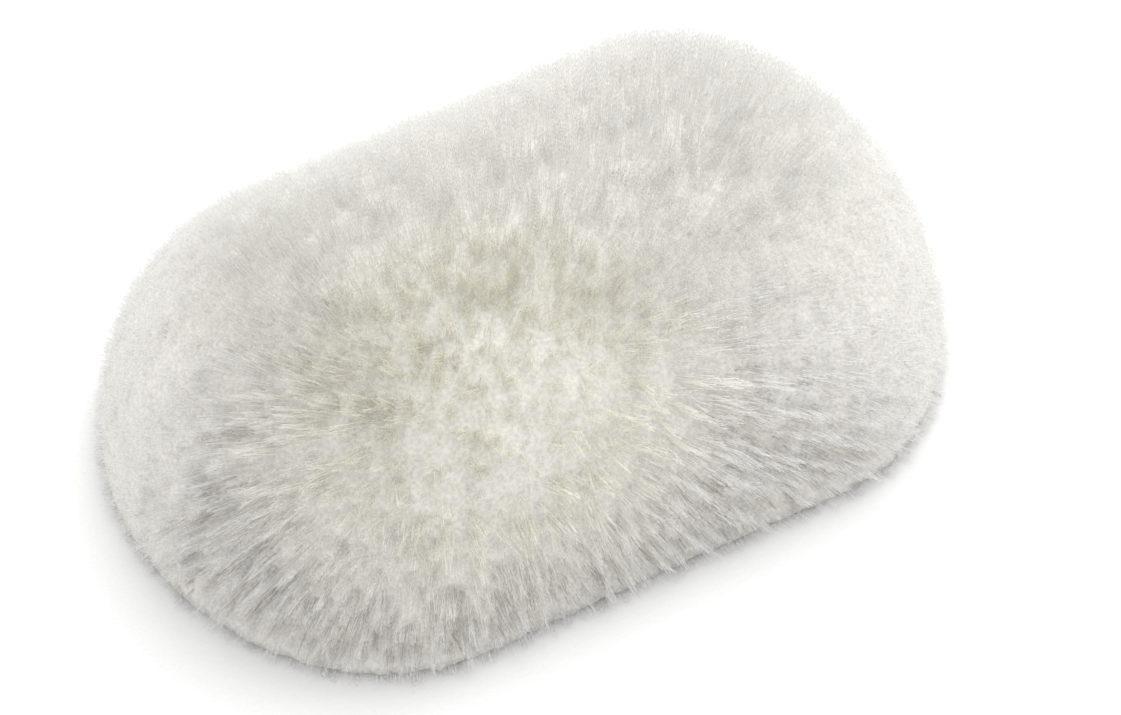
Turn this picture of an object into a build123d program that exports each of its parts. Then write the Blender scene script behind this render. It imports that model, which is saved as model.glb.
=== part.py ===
"""Bee brush head: a crowned beech block set with tufts of soft crimped nylon, each held by a wire anchor.

Millimetres. X runs along the brush and Z is up. The origin is the centre of the block's flat back,
which the brush lies on with its bristles up.
"""

from build123d import *
import math
import os

# Block: a half-round crown with round ends, on a thin straight-sided foot
crown_radius = 28.0  # the tufting face, measured from the crown axis
crown_axis_height = 2.0  # height of the foot under the crown axis
block_straight = 78.0  # length of the crown axis between the two round ends
back_chamfer = 1.0  # round the edge of the back

# Bristles: how long they stand out of the crown, and how far they splay along the brush
bristle_length = 48.0
tip_fan = 26.0  # how much longer the line of tips is than the crown axis

# Tufting: one row along the top of the crown, then rings that lean out by equal steps
centre_row_tufts = 6
ring_tufts = (16, 20, 24, 28, 32)  # inner ring first; a multiple of four stays symmetric
ring_tilt_step = 16.0  # degrees between one ring and the next

# One tuft and its hole
hole_radius = 2.2
hole_depth = 8.0
drill_point = 1.0  # depth of the cone below the hole's full width
tuft_clearance = 0.1  # between the folded filaments and the hole's wall
neck_height = 1.3  # how far a tuft stays as narrow as its hole above the crown
tip_fill = 0.94  # share of its own patch of the bristle surface that a tuft's end fills

# Wire anchor across each hole, over the fold of the filaments
anchor_bite = 0.2  # how far each end is driven into the wood
anchor_thickness = 0.45
anchor_height = 1.8
anchor_rise = 1.2  # depth of folded filament under the anchor

# Threaded inserts in the back, for a handle or a bracket
insert_spacing = 50.0
insert_radius = 4.0
insert_length = 12.0
insert_bore_radius = 2.5  # core of an M6 thread
insert_bore_chamfer = 0.5
insert_groove_depth = 0.35
insert_groove_width = 2.0

side_reach = crown_radius + bristle_length  # crown axis to the tips, sideways and upwards
end_reach = side_reach - tip_fan / 2  # past the straight run at each end, for one bristle length
root_half_run = block_straight / 2
tip_half_run = root_half_run + tip_fan / 2


def on_dome(half_run, end, side, tilt, run, plan):
    """A point on a round-ended dome: tilt from upright, run (-1 to 1) along it, plan angle round it."""
    lean = math.sin(math.radians(tilt))
    turn = math.radians(plan)
    return Vector(
        run * half_run + end * lean * math.cos(turn),
        side * lean * math.sin(turn),
        crown_axis_height + side * math.cos(math.radians(tilt)),
    )


def root_at(tilt, run, plan):
    return on_dome(root_half_run, crown_radius, crown_radius, tilt, run, plan)


def tip_at(tilt, run, plan):
    return on_dome(tip_half_run, end_reach, side_reach, tilt, run, plan)


def round_the_ring(tilt, share):
    """Run and plan angle a share of the way round a ring, from the middle of its +Y side."""
    straight = 2 * tip_half_run
    arc = math.pi * (end_reach + side_reach) / 2 * math.sin(math.radians(tilt))
    gone = (share % 1.0) * 2 * (straight + arc)
    if gone < straight / 2:
        return 2 * gone / straight, 90.0
    gone -= straight / 2
    if gone < arc:
        return 1.0, 90.0 - 180.0 * gone / arc
    gone -= arc
    if gone < straight:
        return 1.0 - 2 * gone / straight, -90.0
    gone -= straight
    if gone < arc:
        return -1.0, -90.0 - 180.0 * gone / arc
    gone -= arc
    return -1.0 + 2 * gone / straight, 90.0


def seat(root, tip, along):
    """The plane of a tuft: its origin at the mouth of the hole, Z out along the bristles."""
    axis = (tip - root).normalized()
    across = along - axis * along.dot(axis)
    return Plane(origin=root, x_dir=across.normalized(), z_dir=axis)


def centre_row():
    """Seat, length, and the width and height of its patch of the dome, for each tuft of the row."""
    half_step = ring_tilt_step / 2
    patch_width = 2 * tip_at(half_step, 1, 0).X / centre_row_tufts
    patch_height = 2 * tip_at(half_step, 0, 90).Y
    for number in range(centre_row_tufts):
        run = (number - (centre_row_tufts - 1) / 2) * patch_width / tip_half_run
        root, tip = root_at(0, run, 90), tip_at(0, run, 90)
        yield seat(root, tip, Vector(1, 0, 0)), (tip - root).length, patch_width, patch_height


def ring(number):
    """The same for each tuft of a ring, 1 being the innermost."""
    tilt = number * ring_tilt_step
    count = ring_tufts[number - 1]
    for place in range(count):
        share = (place + 0.5) / count
        here = round_the_ring(tilt, share)
        before = tip_at(tilt, *round_the_ring(tilt, share - 0.5 / count))
        after = tip_at(tilt, *round_the_ring(tilt, share + 0.5 / count))
        above = tip_at(tilt - ring_tilt_step / 2, *here)
        below = tip_at(tilt + ring_tilt_step / 2, *here)
        root, tip = root_at(tilt, *here), tip_at(tilt, *here)
        plane = seat(root, tip, after - before)
        yield plane, (tip - root).length, (after - before).length, (above - below).length


def tuft_groups():
    """Every tuft's place, by the name of its group: the row, then each ring's +Y and -Y half."""
    groups = {"centre_row": list(centre_row())}
    for number in range(1, len(ring_tufts) + 1):
        places = list(ring(number))
        groups[f"ring_{number}_back"] = [p for p in places if p[0].origin.Y > 0]
        groups[f"ring_{number}_front"] = [p for p in places if p[0].origin.Y < 0]
    return groups


def drilled_hole():
    """What the drill takes out, about the tuft's own axis and a little way above the crown."""
    bore = Pos(0, 0, -hole_depth) * Cylinder(
        hole_radius, hole_depth + neck_height, align=(Align.CENTER, Align.CENTER, Align.MIN)
    )
    point = Pos(0, 0, -hole_depth - drill_point) * Cone(
        0, hole_radius, drill_point, align=(Align.CENTER, Align.CENTER, Align.MIN)
    )
    return bore + point


def wire_anchor():
    width = 2 * (hole_radius + anchor_bite)
    return Pos(0, 0, anchor_rise - hole_depth) * Box(
        width, anchor_thickness, anchor_height, align=(Align.CENTER, Align.CENTER, Align.MIN)
    )


def tuft(length, patch_width, patch_height):
    """Filaments folded over the anchor, straight through the hole and splayed out to their trimmed ends."""
    narrow = hole_radius - tuft_clearance
    root = Pos(0, 0, -hole_depth) * Cylinder(
        narrow, hole_depth + neck_height, align=(Align.CENTER, Align.CENTER, Align.MIN)
    )
    root = chamfer(root.edges().group_by(Axis.Z)[0], narrow / 4)
    mouth = Plane.XY.offset(neck_height) * Circle(narrow)
    end = Plane.XY.offset(length) * Ellipse(tip_fill * patch_width / 2, tip_fill * patch_height / 2)
    return root + loft([mouth, end]) - wire_anchor()


def crowned_blank():
    """The block before drilling."""
    crown = Pos(0, 0, crown_axis_height) * Rot(0, 90, 0) * Cylinder(crown_radius, block_straight)
    for end in (-root_half_run, root_half_run):
        crown += Pos(end, 0, crown_axis_height) * Sphere(crown_radius)
    room = 2 * (root_half_run + crown_radius)
    upper = Pos(0, 0, crown_axis_height) * Box(
        room, room, crown_radius, align=(Align.CENTER, Align.CENTER, Align.MIN)
    )
    foot = extrude(SlotCenterToCenter(block_straight, 2 * crown_radius), crown_axis_height)
    blank = (crown & upper) + foot
    return chamfer(blank.edges().group_by(Axis.Z)[0], back_chamfer)


def insert_places():
    return [Pos(x, 0, 0) for x in (-insert_spacing / 2, insert_spacing / 2)]


def threaded_insert():
    """A brass bush, flush with the back, with two grooves that key it into the wood."""
    bush = Cylinder(insert_radius, insert_length, align=(Align.CENTER, Align.CENTER, Align.MIN))
    bush -= Cylinder(insert_bore_radius, insert_length, align=(Align.CENTER, Align.CENTER, Align.MIN))
    mouth = bush.edges().filter_by(GeomType.CIRCLE).group_by(Axis.Z)[0].sort_by(SortBy.RADIUS)[0]
    bush = chamfer(mouth, insert_bore_chamfer)
    ring_blank = Cylinder(insert_radius, insert_groove_width) - Cylinder(
        insert_radius - insert_groove_depth, insert_groove_width
    )
    for share in (1 / 3, 2 / 3):
        bush -= Pos(0, 0, share * insert_length) * ring_blank
    return bush


def drilled_block(groups):
    cuts = []
    for places in groups.values():
        for plane, *_ in places:
            cuts += [plane.location * drilled_hole(), plane.location * wire_anchor()]
    for place in insert_places():
        cuts.append(
            place * Cylinder(insert_radius, insert_length, align=(Align.CENTER, Align.CENTER, Align.MIN))
        )
    return crowned_blank() - cuts


def save(name, solids):
    export_step(Compound(children=list(solids)), f"parts/{name}.step")


def main():
    os.makedirs("parts", exist_ok=True)
    groups = tuft_groups()
    save("block", drilled_block(groups).solids())
    save("threaded_inserts", [place * threaded_insert() for place in insert_places()])
    for name, places in groups.items():
        save(f"tufts_{name}", [plane.location * tuft(*size) for plane, *size in places])
        save(f"anchors_{name}", [plane.location * wire_anchor() for plane, *_ in places])


main()
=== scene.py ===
# Bee brush head lying on its back: crimped nylon tufts, beech block, brass inserts, wire anchors.
# Metres, in the CAD frame: +X along the brush, +Z out through the bristles.
import math

import bmesh
import bpy
import numpy as np
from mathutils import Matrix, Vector


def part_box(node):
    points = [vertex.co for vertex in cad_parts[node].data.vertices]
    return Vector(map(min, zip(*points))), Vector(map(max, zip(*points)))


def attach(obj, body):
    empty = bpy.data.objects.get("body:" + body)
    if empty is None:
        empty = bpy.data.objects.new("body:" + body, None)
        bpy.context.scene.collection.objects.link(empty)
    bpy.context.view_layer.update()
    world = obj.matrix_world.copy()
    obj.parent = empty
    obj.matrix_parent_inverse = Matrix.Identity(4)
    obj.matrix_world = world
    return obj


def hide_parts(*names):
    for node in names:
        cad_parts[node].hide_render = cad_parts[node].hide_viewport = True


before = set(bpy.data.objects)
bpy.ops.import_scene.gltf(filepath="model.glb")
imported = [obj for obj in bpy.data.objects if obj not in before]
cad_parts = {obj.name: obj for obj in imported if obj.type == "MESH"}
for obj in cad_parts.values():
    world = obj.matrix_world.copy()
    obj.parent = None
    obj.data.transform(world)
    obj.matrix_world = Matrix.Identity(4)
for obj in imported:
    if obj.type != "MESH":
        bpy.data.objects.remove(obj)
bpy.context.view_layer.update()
scene = bpy.context.scene
rng = np.random.default_rng(41)
print("frame loaded")


def linearColour(hexCode):
    parts = [int(hexCode[i : i + 2], 16) / 255 for i in (1, 3, 5)]
    return (*(p / 12.92 if p <= 0.04045 else ((p + 0.055) / 1.055) ** 2.4 for p in parts), 1.0)


def addNode(tree, kind, inputs=None, **settings):
    node = tree.nodes.new(kind)
    for name, value in settings.items():
        setattr(node, name, value)
    for name, value in (inputs or {}).items():
        if isinstance(value, bpy.types.NodeSocket):
            tree.links.new(value, node.inputs[name])
        else:
            node.inputs[name].default_value = value
    return node


def newMaterial(name):
    material = bpy.data.materials.new(name)
    material.use_nodes = True
    tree = material.node_tree
    tree.nodes.clear()
    shader = addNode(tree, "ShaderNodeBsdfPrincipled")
    addNode(tree, "ShaderNodeOutputMaterial", {"Surface": shader.outputs[0]})
    return material, tree, shader


def connect(tree, shader, inputs):
    for name, value in inputs.items():
        if isinstance(value, bpy.types.NodeSocket):
            tree.links.new(value, shader.inputs[name])
        else:
            shader.inputs[name].default_value = value


def fillRamp(node, stops):
    ramp = node.color_ramp
    while len(ramp.elements) < len(stops):
        ramp.elements.new(0.5)
    for element, (place, colour) in zip(ramp.elements, stops):
        element.position = place
        element.color = linearColour(colour)


nylonLook = {
    "rootShadeColour": "#dbd9d3",  # painted shade in the thick of the bunch, where light has passed many filaments
    "midColour": "#f7f6f4",
    "tipColour": "#fcfcfc",
    "creamGlowTint": "#fffdf0",  # painted warm glow where the ends face up at the parting
    "grooveShadeTint": "#bdb8b2",  # painted shade down in the combed grooves
    "filamentLength": 48.0,  # millimetres shown
    "crimpPitch": 2.6,  # millimetres between waves
    "roughness": 0.2,
}


def crimpedNylon():
    # Nylon 6.12, extruded, drawn and gear-crimped: milky white, with a soft gloss on each wave, partly
    # from the bump and partly painted as lighter crests
    material, tree, shader = newMaterial("crimpedNylon")
    uv = addNode(tree, "ShaderNodeUVMap", uv_map="OFBake")
    axes = addNode(tree, "ShaderNodeSeparateXYZ", {"Vector": uv.outputs[0]})
    column, along = axes.outputs[0], axes.outputs[1]
    # painted shade: darker toward the root, deep in the bunch
    body = addNode(tree, "ShaderNodeValToRGB", {"Fac": along})
    fillRamp(body, [
        (0.0, nylonLook["rootShadeColour"]),
        (0.88, nylonLook["midColour"]),
        (1.0, nylonLook["tipColour"]),
    ])
    tone = addNode(tree, "ShaderNodeTexWhiteNoise", {"W": column}, noise_dimensions="1D")
    shade = addNode(tree, "ShaderNodeMapRange", {
        "Value": tone.outputs[0], "To Min": 0.97, "To Max": 1.02,
    })
    waveTurn = 2 * math.pi * nylonLook["filamentLength"] / nylonLook["crimpPitch"]
    waves = addNode(tree, "ShaderNodeMath", {0: along, 1: waveTurn}, operation="MULTIPLY")
    stagger = {0: column, 1: 40.0, 2: waves.outputs[0]}  # neighbours' waves don't line up
    phase = addNode(tree, "ShaderNodeMath", stagger, operation="MULTIPLY_ADD")
    crimp = addNode(tree, "ShaderNodeMath", {0: phase.outputs[0]}, operation="SINE")
    # painted glints: each crest of the crimp lighter, each trough darker
    crestGlintRange = {"Value": crimp.outputs[0], "From Min": -1.0, "To Min": 0.93, "To Max": 1.03}
    crestGlint = addNode(tree, "ShaderNodeMapRange", crestGlintRange)
    toneAndGlint = addNode(tree, "ShaderNodeMath", {
        0: shade.outputs[0], 1: crestGlint.outputs[0],
    }, operation="MULTIPLY")
    # painted shade in the grooves at the low end, painted warm glow at the parting at the high end
    shadeAndGlow = addNode(tree, "ShaderNodeValToRGB", {"Fac": column})
    fillRamp(shadeAndGlow, [
        (0.04, nylonLook["grooveShadeTint"]),
        (0.38, "#ffffff"),
        (0.9, nylonLook["creamGlowTint"]),
    ])
    tintPair = {0: body.outputs[0], 1: shadeAndGlow.outputs[0]}
    tinted = addNode(tree, "ShaderNodeVectorMath", tintPair, operation="MULTIPLY")
    colour = addNode(tree, "ShaderNodeVectorMath", {0: tinted.outputs[0]}, operation="SCALE")
    tree.links.new(toneAndGlint.outputs[0], colour.inputs["Scale"])
    bump = addNode(tree, "ShaderNodeBump", {
        "Height": crimp.outputs[0], "Strength": 1.0, "Distance": 0.0001,
    })
    connect(tree, shader, {
        "Base Color": colour.outputs[0],
        "Roughness": nylonLook["roughness"],
        "IOR": 1.53,
        "Normal": bump.outputs[0],
    })
    return material


blockLow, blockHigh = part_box("block")
crownRadius = (blockHigh.y - blockLow.y) / 2
crownAxisHeight = blockHigh.z - crownRadius
rootHalfRun = blockHigh.x - crownRadius

tufting = {
    "bristleLength": 0.048,
    "tipFan": 0.026,
    "rowTufts": 6,
    "ringTufts": (16, 20, 24, 28, 32),
    "tiltStep": 16.0,
    "lowestTilt": 91.0,  # the outside ring spreads down to the ground
    "bunchRadius": 0.0019,
    "rootInset": 0.0015,
}
sideReach = crownRadius + tufting["bristleLength"]
endReach = sideReach - tufting["tipFan"] / 2
tipHalfRun = rootHalfRun + tufting["tipFan"] / 2

strands = {
    "patchOverlap": 1.12,  # how far a tuft's ends reach into its neighbours' patches
    "perTuft": 472,
    "perLock": 8,
    "radius": 0.00011,
    "tipShare": 0.55,  # tip thickness over the thickness at the root
    "lockSpread": 0.0019,  # half-width of a lock where it is widest
    "trimNoise": 0.0003,
    "strays": 0.03,
    "strayLength": 0.0022,
    "bend": 0.0006,
    "strandCurl": 0.0003,
    "strandBend": 0.00035,
    "belly": 0.012,  # how straight the filaments leave their hole
    "droop": 0.0012,
    "midSpread": 0.8,
    "rootFan": 4.0,
    "clumpPull": 0.004,  # how far the outside of a lock is drawn in
    "strayDrift": 0.0012,
    "tousledToward": (-0.316, -0.559, 0.766),  # the parting, where the ends have been rubbed apart
    # smooth back, tousled parting, combed front flank
    "clump": (0.0, 0.7, 0.3),  # how far a lock draws to a point
    "lockTrim": (0.0001, 0.0015, 0.0003),  # unevenness of the ends
    "curl": (0.0003, 0.0075, 0.0004),  # how far a lock's end leans off its line
    "sag": (0.0010, 0.0010, 0.0120),  # how far the ends fall away from the parting
    "floorGap": 0.0004,
    "floorLift": 0.0006,
    "tousledFrom": (0.84, 0.985),  # how near a bearing is to the parting, as a cosine
    "glowFrom": (0.72, 1.0),
}


def onDome(halfRun, end, side, tilt, run, plan):
    # A point of a long dome: tilt from straight up, run along its middle, plan angle round its ends
    lean, turn = np.sin(np.radians(tilt)), np.radians(plan)
    return np.stack([
        run * halfRun + end * lean * np.cos(turn),
        side * lean * np.sin(turn),
        crownAxisHeight + side * np.cos(np.radians(tilt)),
    ], axis=-1)


def roundTheRing(tilt, share):
    # Run and plan angle at a share of the way round the dome, from the middle of its back
    straight = 2 * tipHalfRun
    arc = math.pi * (endReach + sideReach) / 2 * np.sin(np.radians(tilt))
    gone = (share % 1.0) * 2 * (straight + arc)
    edges = [
        straight / 2 + 0 * arc,
        straight / 2 + arc,
        1.5 * straight + arc,
        1.5 * straight + 2 * arc,
    ]
    cases = [gone < edges[0], gone < edges[1], gone < edges[2], gone < edges[3]]
    runs = [
        2 * gone / straight,
        1.0 + 0 * gone,
        1.0 - 2 * (gone - edges[1]) / straight,
        -1.0 + 0 * gone,
    ]
    plans = [
        90.0 + 0 * gone,
        90.0 - 180.0 * (gone - edges[0]) / arc,
        -90.0 + 0 * gone,
        -90.0 - 180.0 * (gone - edges[2]) / arc,
    ]
    run = np.select(cases, runs, -1.0 + 2 * (gone - edges[3]) / straight)
    return run, np.select(cases, plans, 90.0)


def rowPlaces():
    half = tufting["tiltStep"] / 2
    reach = tipHalfRun + endReach * math.sin(math.radians(half))
    width = 2 * reach / tufting["rowTufts"]
    for number in range(tufting["rowTufts"]):
        middle = (number - (tufting["rowTufts"] - 1) / 2) * width
        yield {"row": True, "middle": middle, "width": width, "run": middle / tipHalfRun}


def ringPlaces(number, back):
    count = tufting["ringTufts"][number - 1]
    tilt = number * tufting["tiltStep"]
    for place in range(count):
        share = (place + 0.5) / count
        run, plan = roundTheRing(np.array(tilt), np.array(share))
        root = onDome(rootHalfRun, crownRadius, crownRadius, tilt, run, plan)
        if (root[1] > 0) == back:
            last = number == len(tufting["ringTufts"])
            yield {"row": False, "tilt": tilt, "share": share, "count": count, "last": last}


def stratified(count):
    # Even but irregular places in a unit square
    across = math.ceil(math.sqrt(count))
    down = math.ceil(count / across)
    cells = rng.permutation(across * down)[:count]
    x = (cells % across + rng.random(count)) / across
    y = (cells // across + rng.random(count)) / down
    return x - 0.5, y - 0.5


def lockTargets(place, count):
    # Where the locks of one tuft end, in its own patch of the dome, as tilt, run and plan angle
    u, v = stratified(count)
    u, v = u * strands["patchOverlap"], v * strands["patchOverlap"]
    half = tufting["tiltStep"] / 2
    if place["row"]:
        x = place["middle"] + u * place["width"]
        y = v * 2 * sideReach * math.sin(math.radians(half))
        over = np.maximum(np.abs(x) - tipHalfRun, 0.0) * np.sign(x)
        lean = np.minimum(np.hypot(over / endReach, y / sideReach), 1.0)
        plan = np.degrees(np.arctan2(y / sideReach, over / endReach))
        return np.degrees(np.arcsin(lean)), np.clip(x / tipHalfRun, -1, 1), plan
    top, bottom = place["tilt"] - half, place["tilt"] + half
    if place["last"]:
        bottom = tufting["lowestTilt"]
    tilt = (top + bottom) / 2 + v * (bottom - top)
    run, plan = roundTheRing(tilt, place["share"] + u / place["count"])
    return tilt, run, plan


def unit(vectors):
    return vectors / np.linalg.norm(vectors, axis=-1, keepdims=True)


def easeBetween(low, high, value):
    t = np.clip((value - low) / (high - low), 0, 1)
    return t * t * (3 - 2 * t)


combing = {
    "toward": (-0.36, -0.933, 0.0),  # the flank that is combed
    "from": (0.2, 0.62),  # where the combing starts and is full, as a cosine
    "across": (37, 71, 127),  # grooves combed into the flank, counted all the way round
    "depth": (0.0036, 0.0032, 0.0022),
    "narrowness": (8, 6, 3),
    "pull": 0.0008,  # how far the ends gather beside a groove
    "shadeAt": 0.0034,  # depth at which a filament has its darkest painted shade
    "packedDepth": 0.0062,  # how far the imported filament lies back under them
}


def grooves(spot):
    # Grooves that run outwards from the parting down the front flank: depth, and where ends gather
    out = unit(spot)
    parting = np.array(strands["tousledToward"])
    sideA = unit(np.cross(parting, [0.0, 0.0, 1.0]))
    sideB = np.cross(parting, sideA)
    turn = np.arctan2(out @ sideB, out @ sideA)
    fall = np.arccos(np.clip(out @ parting, -1, 1))
    flank = easeBetween(*combing["from"], out @ np.array(combing["toward"]))
    flank = flank * easeBetween(0.15, 0.5, fall) * easeBetween(0.0, 0.08, out[:, 2])
    deep, gather = 0 * turn, 0 * turn
    combs = zip(combing["across"], combing["depth"], combing["narrowness"])
    for number, (across, depth, narrow) in enumerate(combs):
        wander = 1.7 * np.sin(5 * turn + 2.2 * fall + number)
        wander = wander + 1.1 * np.sin(11 * turn - 3.1 * fall + 2 * number)
        wave = across * turn + wander
        stretch = np.sin(5 * fall + 9 * turn + 3 * np.sin(4 * turn) + 2.3 * number)
        lasting = easeBetween(-0.9, 0.2, stretch)
        deep = deep + depth * lasting * ((1 + np.cos(wave)) / 2) ** narrow
        gather = gather + combing["pull"] * np.sin(wave) * lasting
    buried = flank + 0.2 * easeBetween(0.84, 0.98, out @ parting)
    return deep * flank, gather * flank, unit(np.cross(parting, out)), buried


def growTuft(place):
    # Points of every filament of one tuft, filaments x points x 3, and the tone of each, which carries
    # its painted glow and painted groove shade
    if place["row"]:
        tilt0, run0, plan0 = 0.0, place["run"], 90.0
    else:
        tilt0 = place["tilt"]
        run0, plan0 = roundTheRing(np.array(tilt0), np.array(place["share"]))
    hole = onDome(rootHalfRun, crownRadius, crownRadius, tilt0, run0, plan0)
    axis = unit(onDome(tipHalfRun, endReach, sideReach, tilt0, run0, plan0) - hole)

    lockCount = round(strands["perTuft"] / strands["perLock"])
    tilt, run, plan = lockTargets(place, lockCount)
    lockTip = onDome(tipHalfRun, endReach, sideReach, tilt, run, plan)
    lockOut = unit(lockTip - onDome(rootHalfRun, crownRadius, crownRadius, tilt, run, plan))
    parting = np.array(strands["tousledToward"])
    bearing = unit(lockTip)
    aim = bearing @ parting
    away = bearing * aim[:, None] - parting
    away = unit(away - lockOut * np.sum(away * lockOut, axis=1)[:, None])
    tousled = easeBetween(*strands["tousledFrom"], aim)
    combed = easeBetween(*combing["from"], bearing @ np.array(combing["toward"])) * (1 - tousled)

    def blended(name):
        smooth, middle, flank = strands[name]
        return smooth * (1 - tousled - combed) + middle * tousled + flank * combed

    lockTip += lockOut * (rng.normal(0, 1, lockCount) * blended("lockTrim"))[:, None]
    lockBend = rng.normal(0, strands["bend"], (lockCount, 3))
    clump = np.clip(blended("clump") + rng.normal(0, 0.1, lockCount), 0, 0.95)
    curl = blended("curl") * rng.normal(0, 1, lockCount)
    curlTurn = rng.random(lockCount) * 2 * math.pi
    sag = blended("sag") * rng.uniform(0.4, 1.5, lockCount) * np.clip((90 - tilt) / 45, 0.05, 1)
    # painted warm glow on the ends that face the parting
    creamGlow = easeBetween(*strands["glowFrom"], aim)

    lock = np.repeat(np.arange(lockCount), strands["perLock"])
    count = len(lock)
    angle, radius = rng.random(count) * 2 * math.pi, np.sqrt(rng.random(count))
    out = lockOut[lock]
    sideways = unit(np.cross(out, [0.3, 0.2, 1.0]))
    upwards = np.cross(out, sideways)
    offset = (np.cos(angle) * radius)[:, None] * sideways
    offset = offset + (np.sin(angle) * radius)[:, None] * upwards

    along = unit(lockTip[lock] - hole)
    rootOffset = (along - axis * (along @ axis)[:, None]) * strands["rootFan"]
    rootOffset = rootOffset * 0.5 + offset * 0.5
    root = hole - axis * tufting["rootInset"] + rootOffset * tufting["bunchRadius"]
    tip = lockTip[lock] + offset * (strands["lockSpread"] * (1 - clump[lock]))[:, None]
    drawnIn = radius * clump[lock] * strands["clumpPull"]
    tip += out * (rng.normal(0, strands["trimNoise"], count) - drawnIn * rng.random(count))[:, None]
    deep, gather, across, _ = grooves(tip)
    tip += across * gather[:, None] - out * deep[:, None]
    stray = rng.random(count) < strands["strays"]
    strayOut = out * rng.random((count, 1)) * strands["strayLength"]
    tip += stray[:, None] * (strayOut + rng.normal(0, strands["strayDrift"], (count, 3)))

    curlWay = np.cos(curlTurn[lock])[:, None] * sideways + np.sin(curlTurn[lock])[:, None] * upwards
    curlWay = curlWay * curl[lock][:, None] + (away * sag[:, None])[lock]
    curlWay = curlWay + rng.normal(0, strands["strandCurl"], (count, 3))

    points = []
    for t in (0.0, 0.34, 0.62, 0.84, 1.0):
        straight = root * (1 - t) + tip * t
        belly = axis * strands["belly"] * t * (1 - t) ** 2 * 4
        widest = math.sin(math.pi * t ** 1.3)
        spread = offset * strands["lockSpread"] * widest * strands["midSpread"]
        bend = lockBend[lock] * math.sin(math.pi * t * 0.75)
        bend = bend + rng.normal(0, strands["strandBend"], (count, 3)) * t
        lean = curlWay * max(0.0, (t - 0.45) / 0.55) ** 1.6
        points.append(straight + belly + spread + bend + lean)
    points = np.stack(points, axis=1)
    droop = np.linspace(0, 1, points.shape[1]) ** 2
    points[:, :, 2] -= strands["droop"] * droop * math.sin(math.radians(tilt0))
    lowest = strands["floorGap"] + rng.random(count)[:, None] * strands["floorLift"]
    points[:, :, 2] = np.maximum(points[:, :, 2], lowest)
    # painted warm glow toward the parting, painted shade the deeper a filament lies in a groove
    tone = 0.42 + 0.58 * creamGlow[lock] - 0.42 * np.clip(deep / combing["shadeAt"], 0, 1)
    return points, tone


def strandProfile():
    curve = bpy.data.curves.new("strandProfile", "CURVE")
    curve.dimensions = "2D"
    line = curve.splines.new("POLY")
    line.points.add(2)
    for number, point in enumerate(line.points):
        turn = number * 2 * math.pi / 3
        point.co = (strands["radius"] * math.cos(turn), strands["radius"] * math.sin(turn), 0, 1)
    line.use_cyclic_u = True
    return bpy.data.objects.new("strandProfile", curve)


def weave(name, places, profile, material):
    grown = [growTuft(place) for place in places]
    points = np.concatenate([g[0] for g in grown])
    tone = np.concatenate([g[1] for g in grown])
    count, steps = points.shape[:2]
    curve = bpy.data.curves.new(name, "CURVE")
    curve.dimensions = "3D"
    curve.bevel_mode = "OBJECT"
    curve.bevel_object = profile
    curve.use_fill_caps = True
    flat = np.ones((count, steps, 4))
    flat[:, :, :3] = points
    taper = np.linspace(1.0, strands["tipShare"], steps)
    thickness = rng.uniform(0.8, 1.15, count)
    for number in range(count):
        line = curve.splines.new("POLY")
        line.points.add(steps - 1)
        line.points.foreach_set("co", flat[number].ravel())
        line.points.foreach_set("radius", taper * thickness[number])
    holder = bpy.data.objects.new(name + "Lines", curve)
    scene.collection.objects.link(holder)
    bpy.context.view_layer.update()
    ready = holder.evaluated_get(bpy.context.evaluated_depsgraph_get())
    mesh = bpy.data.meshes.new_from_object(ready)
    bpy.data.objects.remove(holder)
    bpy.data.curves.remove(curve)

    # one narrow column of the texture for each filament, root at the bottom and tip at the top
    corner = np.zeros(len(mesh.loops), dtype=np.int32)
    mesh.loops.foreach_get("vertex_index", corner)
    capCorners = 6 * count
    isCap = corner < capCorners
    strand = np.where(isCap, corner // 6, (corner - capCorners) // (3 * steps))
    tubeRing = (corner - capCorners) % (3 * steps) // 3
    ring = np.where(isCap, (corner % 6 // 3) * (steps - 1), tubeRing)
    around = corner % 3
    # the column carries each filament's painted glow and groove shade, with a little random tone
    column = 0.02 + 0.9 * tone + 0.07 * rng.random(count)
    uv = np.stack([column[strand] + around * 0.001, 0.002 + 0.996 * ring / (steps - 1)], axis=-1)
    layer = mesh.uv_layers[0]
    layer.name = "OFBake"
    layer.data.foreach_set("uv", uv.astype(np.float32).ravel())

    shell = bmesh.new()
    shell.from_mesh(mesh)
    bmesh.ops.remove_doubles(shell, verts=shell.verts, dist=1e-7)
    bmesh.ops.recalc_face_normals(shell, faces=shell.faces)
    shell.to_mesh(mesh)
    shell.free()
    mesh.shade_flat()
    mesh.name = name
    piece = bpy.data.objects.new(name, mesh)
    scene.collection.objects.link(piece)
    mesh.materials.clear()
    mesh.materials.append(material)
    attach(piece, "root")
    return piece, count


nylon = crimpedNylon()
profile = strandProfile()
scene.collection.objects.link(profile)
groups = {"tufts_centre_row": list(rowPlaces())}
for ringNumber in range(1, len(tufting["ringTufts"]) + 1):
    for side, back in (("back", True), ("front", False)):
        groups[f"tufts_ring_{ringNumber}_{side}"] = list(ringPlaces(ringNumber, back))
for nodeName, places in groups.items():
    piece, count = weave("bristles_" + nodeName[6:], places, profile, nylon)
    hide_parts(nodeName)
    print(nodeName, len(places), "tufts", count, "filaments", len(piece.data.polygons), "faces")
bpy.data.objects.remove(profile)


# The mass of filament under the loose ends, too many strands to grow one by one
packing = {
    "depthTop": 0.87,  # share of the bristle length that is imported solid
    "depthSide": 0.965,
    "unevenness": 0.006,
    "lowestTilt": 90.0,
}


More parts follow.
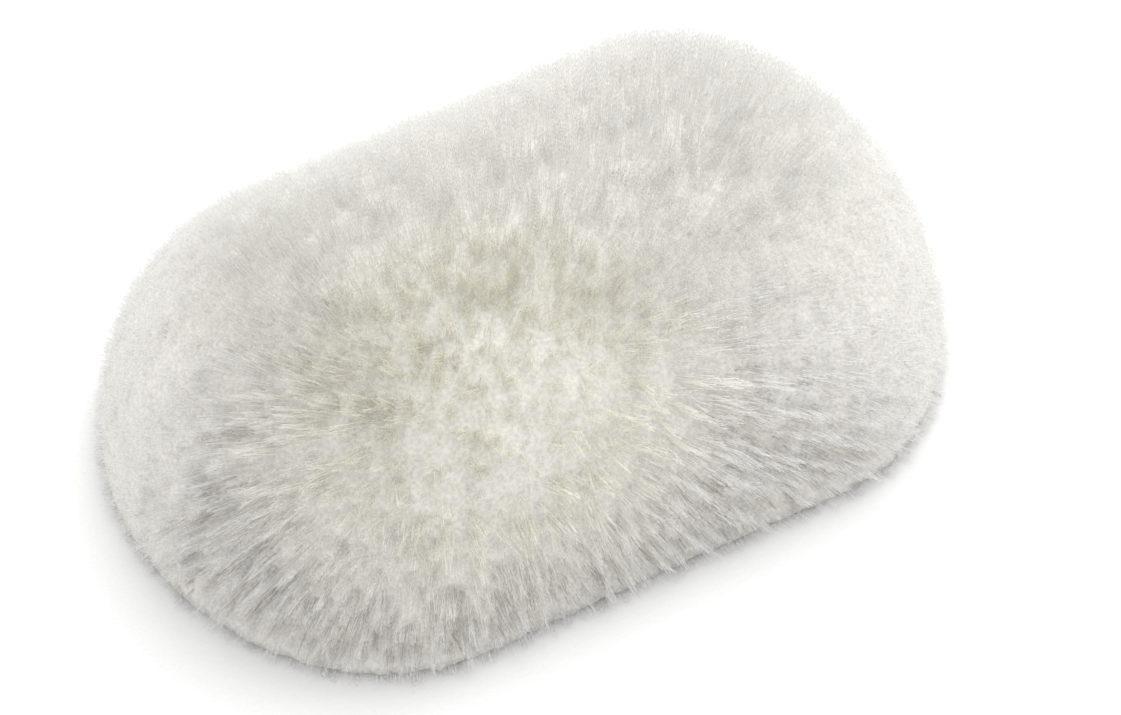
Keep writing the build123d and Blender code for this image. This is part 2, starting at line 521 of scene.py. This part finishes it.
def packedSurface(direction):
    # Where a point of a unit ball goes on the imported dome, its underside drawn in to the block
    tilt = math.degrees(math.acos(max(-1.0, min(1.0, direction.z))))
    plan = math.degrees(math.atan2(direction.y, direction.x)) if tilt > 0.01 else 90.0
    over = max(0.0, tilt - packing["lowestTilt"])
    tilt = min(tilt, packing["lowestTilt"])
    run, plan = roundTheRing(np.array(tilt), np.array((90 - plan) / 360))
    deeper = packing["depthSide"] - packing["depthTop"]
    depth = packing["depthTop"] + deeper * easeBetween(20, 60, tilt)
    uneven = rng.normal(0, packing["unevenness"]) * easeBetween(4, 16, tilt)
    share = (depth + uneven) * max(0.0, 1 - over / 24)
    inward = 1 - 0.5 * max(0.0, over - 24) / (98 - 24)
    foot = onDome(rootHalfRun, crownRadius, crownRadius, tilt, run, plan)
    head = onDome(tipHalfRun, endReach, sideReach, tilt, run, plan)
    spot = foot + (head - foot) * share
    if over == 0:
        spot = spot - unit(head - foot) * grooves(head[None])[3][0] * combing["packedDepth"]
    return Vector((spot[0] * inward, spot[1] * inward, max(spot[2], 0.0012) + (1 - inward) * 0.01))


def packedNylon():
    # The same crimped nylon, packed side by side in the tufts: a matt, faintly streaked white, painted
    # greyer for the shade deep in the tufts
    material, tree, shader = newMaterial("packedNylon")
    place = addNode(tree, "ShaderNodeTexCoord")
    grid = {"Vector": place.outputs["Object"], "Scale": 900.0, "Detail": 3.0}
    streaks = addNode(tree, "ShaderNodeTexNoise", grid)
    body = addNode(tree, "ShaderNodeValToRGB", {"Fac": streaks.outputs[0]})
    # painted a little greyer than the loose ends, for the shade deep in the tufts
    fillRamp(body, [(0.35, "#d8d6d0"), (0.65, "#edebe5")])
    lift = {"Height": streaks.outputs[0], "Strength": 0.6, "Distance": 0.0003}
    bump = addNode(tree, "ShaderNodeBump", lift)
    connect(tree, shader, {
        "Base Color": body.outputs[0],
        "Roughness": 0.6,
        "Normal": bump.outputs[0],
    })
    return material


packed = bmesh.new()
bmesh.ops.create_uvsphere(packed, u_segments=240, v_segments=96, radius=1.0)
for vert in packed.verts:
    vert.co = packedSurface(vert.co)
bmesh.ops.recalc_face_normals(packed, faces=packed.faces)
packedMesh = bpy.data.meshes.new("packedFilament")
packed.to_mesh(packedMesh)
packed.free()
packedPiece = bpy.data.objects.new("packed_filament", packedMesh)
scene.collection.objects.link(packedPiece)
packedMesh.materials.append(packedNylon())
packedMesh.shade_smooth()
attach(packedPiece, "root")
print("filament packed", len(packedMesh.polygons), "faces")


woodLook = {
    "heart": "#b5855a",
    "body": "#cda276",
    "pale": "#dbb88f",
    "fleck": "#a87649",
    "ringPitch": 0.0032,  # metres between growth rings
    "fleckLength": 0.003,
}


def beech():
    # Steamed beech, quarter sawn, planed and oiled: straight rings and short dark ray flecks
    material, tree, shader = newMaterial("beech")
    place = addNode(tree, "ShaderNodeTexCoord")
    spot = place.outputs["Object"]
    drift = addNode(tree, "ShaderNodeMapping", {"Vector": spot, "Scale": (3.0, 30.0, 30.0)})
    sway = addNode(tree, "ShaderNodeTexNoise", {
        "Vector": drift.outputs[0], "Scale": 1.0, "Detail": 3.0,
    })
    axes = addNode(tree, "ShaderNodeSeparateXYZ", {"Vector": spot})
    across = addNode(tree, "ShaderNodeMath", {
        0: axes.outputs[1], 1: 1 / woodLook["ringPitch"],
    }, operation="MULTIPLY")
    rings = addNode(tree, "ShaderNodeMath", {
        0: sway.outputs[0], 1: 5.0, 2: across.outputs[0],
    }, operation="MULTIPLY_ADD")
    season = addNode(tree, "ShaderNodeMath", {0: rings.outputs[0]}, operation="FRACT")
    body = addNode(tree, "ShaderNodeValToRGB", {"Fac": season.outputs[0]})
    fillRamp(body, [(0.0, woodLook["pale"]), (0.7, woodLook["body"]), (1.0, woodLook["heart"])])
    long = addNode(tree, "ShaderNodeMapping", {
        "Vector": spot, "Scale": (1 / woodLook["fleckLength"], 2600.0, 1400.0),
    })
    flecks = addNode(tree, "ShaderNodeTexNoise", {
        "Vector": long.outputs[0], "Scale": 1.0, "Detail": 2.0,
    })
    dark = addNode(tree, "ShaderNodeMapRange", {
        "Value": flecks.outputs[0], "From Min": 0.62, "From Max": 0.72,
    })
    colour = addNode(tree, "ShaderNodeMix", {"Factor": dark.outputs[0]}, data_type="RGBA")
    tree.links.new(body.outputs[0], colour.inputs["A"])
    colour.inputs["B"].default_value = linearColour(woodLook["fleck"])
    polish = addNode(tree, "ShaderNodeMapRange", {
        "Value": sway.outputs[0], "To Min": 0.42, "To Max": 0.58,
    })
    bump = addNode(tree, "ShaderNodeBump", {
        "Height": flecks.outputs[0], "Strength": 0.35, "Distance": 0.00015,
    })
    tree.links.new(colour.outputs["Result"], shader.inputs["Base Color"])
    connect(tree, shader, {"Roughness": polish.outputs[0], "Normal": bump.outputs[0], "IOR": 1.5})
    return material


metalLook = {
    "brass": "#d4ae5c",
    "brassDull": "#b08c46",
    "tin": "#c9cbcc",
    "tinDull": "#a2a5a8",
    "turningPitch": 0.00035,  # metres between the lathe's marks
}


def turnedBrass():
    # Free-cutting brass turned from bar: bright yellow, fine marks round each insert, a little tarnish
    material, tree, shader = newMaterial("turnedBrass")
    place = addNode(tree, "ShaderNodeTexCoord")
    axes = addNode(tree, "ShaderNodeSeparateXYZ", {"Vector": place.outputs["Object"]})
    turns = addNode(tree, "ShaderNodeMath", {
        0: axes.outputs[2], 1: 2 * math.pi / metalLook["turningPitch"],
    }, operation="MULTIPLY")
    marks = addNode(tree, "ShaderNodeMath", {0: turns.outputs[0]}, operation="SINE")
    stains = addNode(tree, "ShaderNodeTexNoise", {
        "Vector": place.outputs["Object"], "Scale": 450.0, "Detail": 4.0,
    })
    body = addNode(tree, "ShaderNodeValToRGB", {"Fac": stains.outputs[0]})
    fillRamp(body, [(0.35, metalLook["brassDull"]), (0.6, metalLook["brass"])])
    polish = addNode(tree, "ShaderNodeMapRange", {
        "Value": stains.outputs[0], "To Min": 0.45, "To Max": 0.22,
    })
    bump = addNode(tree, "ShaderNodeBump", {
        "Height": marks.outputs[0], "Strength": 0.4, "Distance": 0.00003,
    })
    connect(tree, shader, {
        "Base Color": body.outputs[0],
        "Metallic": 1.0,
        "Roughness": polish.outputs[0],
        "Normal": bump.outputs[0],
    })
    return material


def tinnedWire():
    # Drawn steel wire, thinly tinned and bent cold: satin grey, dull where the die dragged it
    material, tree, shader = newMaterial("tinnedWire")
    place = addNode(tree, "ShaderNodeTexCoord")
    drawn = addNode(tree, "ShaderNodeTexNoise", {
        "Vector": place.outputs["Object"], "Scale": 2200.0, "Detail": 3.0,
    })
    body = addNode(tree, "ShaderNodeValToRGB", {"Fac": drawn.outputs[0]})
    fillRamp(body, [(0.35, metalLook["tinDull"]), (0.65, metalLook["tin"])])
    polish = addNode(tree, "ShaderNodeMapRange", {
        "Value": drawn.outputs[0], "To Min": 0.5, "To Max": 0.28,
    })
    bump = addNode(tree, "ShaderNodeBump", {
        "Height": drawn.outputs[0], "Strength": 0.3, "Distance": 0.00004,
    })
    connect(tree, shader, {
        "Base Color": body.outputs[0],
        "Metallic": 1.0,
        "Roughness": polish.outputs[0],
        "Normal": bump.outputs[0],
    })
    return material


def dress(nodeName, material):
    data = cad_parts[nodeName].data
    data.materials.clear()
    data.materials.append(material)


dress("block", beech())
dress("threaded_inserts", turnedBrass())
wire = tinnedWire()
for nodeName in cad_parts:
    if nodeName.startswith("anchors_"):
        dress(nodeName, wire)
print("block, inserts and anchors dressed")


studio = {
    "floorSize": 6.0,
    "azimuth": -29.5,
    "elevation": 50.0,
    "distance": 1.5,
    "lens": 183.0,
    "aimRight": 0.0096,
    "aimUp": 0.0075,
    "floorHeight": -0.0002,  # just clear of the block's back
    "skyStrength": 0.96,
    "keyPlace": (0.45, 0.35, 1.15),
    "keySize": 0.9,
    "keyPower": 6.0,
}

floorMesh = bpy.data.meshes.new("floor")
sheet = bmesh.new()
bmesh.ops.create_grid(sheet, x_segments=1, y_segments=1, size=studio["floorSize"] / 2)
sheet.to_mesh(floorMesh)
sheet.free()
floor = bpy.data.objects.new("floor", floorMesh)
floor.location.z = studio["floorHeight"]
scene.collection.objects.link(floor)


def whitePaper():
    # Seamless background paper: matt, with a faint tooth
    material, tree, shader = newMaterial("whitePaper")
    place = addNode(tree, "ShaderNodeTexCoord")
    tooth = addNode(tree, "ShaderNodeTexNoise", {
        "Vector": place.outputs["Object"], "Scale": 900.0, "Detail": 2.0,
    })
    body = addNode(tree, "ShaderNodeValToRGB", {"Fac": tooth.outputs[0]})
    fillRamp(body, [(0.3, "#f8f8f8"), (0.7, "#fcfcfc")])
    bump = addNode(tree, "ShaderNodeBump", {
        "Height": tooth.outputs[0], "Strength": 0.1, "Distance": 0.0001,
    })
    connect(tree, shader, {
        "Base Color": body.outputs[0],
        "Roughness": 0.9,
        "Normal": bump.outputs[0],
    })
    return material


floorMesh.materials.append(whitePaper())

world = bpy.data.worlds.new("studio")
scene.world = world
world.use_nodes = True
world.node_tree.nodes["Background"].inputs[0].default_value = (1.0, 1.0, 1.0, 1.0)
world.node_tree.nodes["Background"].inputs[1].default_value = studio["skyStrength"]


def softBox(name, place, aim, size, power):
    light = bpy.data.lights.new(name, "AREA")
    light.shape = "DISK"
    light.size = size
    light.energy = power
    lamp = bpy.data.objects.new(name, light)
    lamp.location = place
    lamp.rotation_euler = (Vector(aim) - Vector(place)).to_track_quat("-Z", "Y").to_euler()
    scene.collection.objects.link(lamp)


azimuth, elevation = math.radians(studio["azimuth"]), math.radians(studio["elevation"])
toCamera = Vector((
    math.sin(azimuth) * math.cos(elevation),
    -math.cos(azimuth) * math.cos(elevation),
    math.sin(elevation),
))
facing = (-toCamera).to_track_quat("-Z", "Y")
aim = facing @ Vector((studio["aimRight"], studio["aimUp"], 0))
lens = bpy.data.cameras.new("camera")
lens.lens = studio["lens"]
lens.clip_start = 0.05
camera = bpy.data.objects.new("camera", lens)
camera.location = aim + toCamera * studio["distance"]
camera.rotation_euler = facing.to_euler()
scene.collection.objects.link(camera)
scene.camera = camera
scene.view_settings.view_transform = "Standard"
softBox("keyLight", studio["keyPlace"], (0, 0, 0.03), studio["keySize"], studio["keyPower"])
print("studio ready")
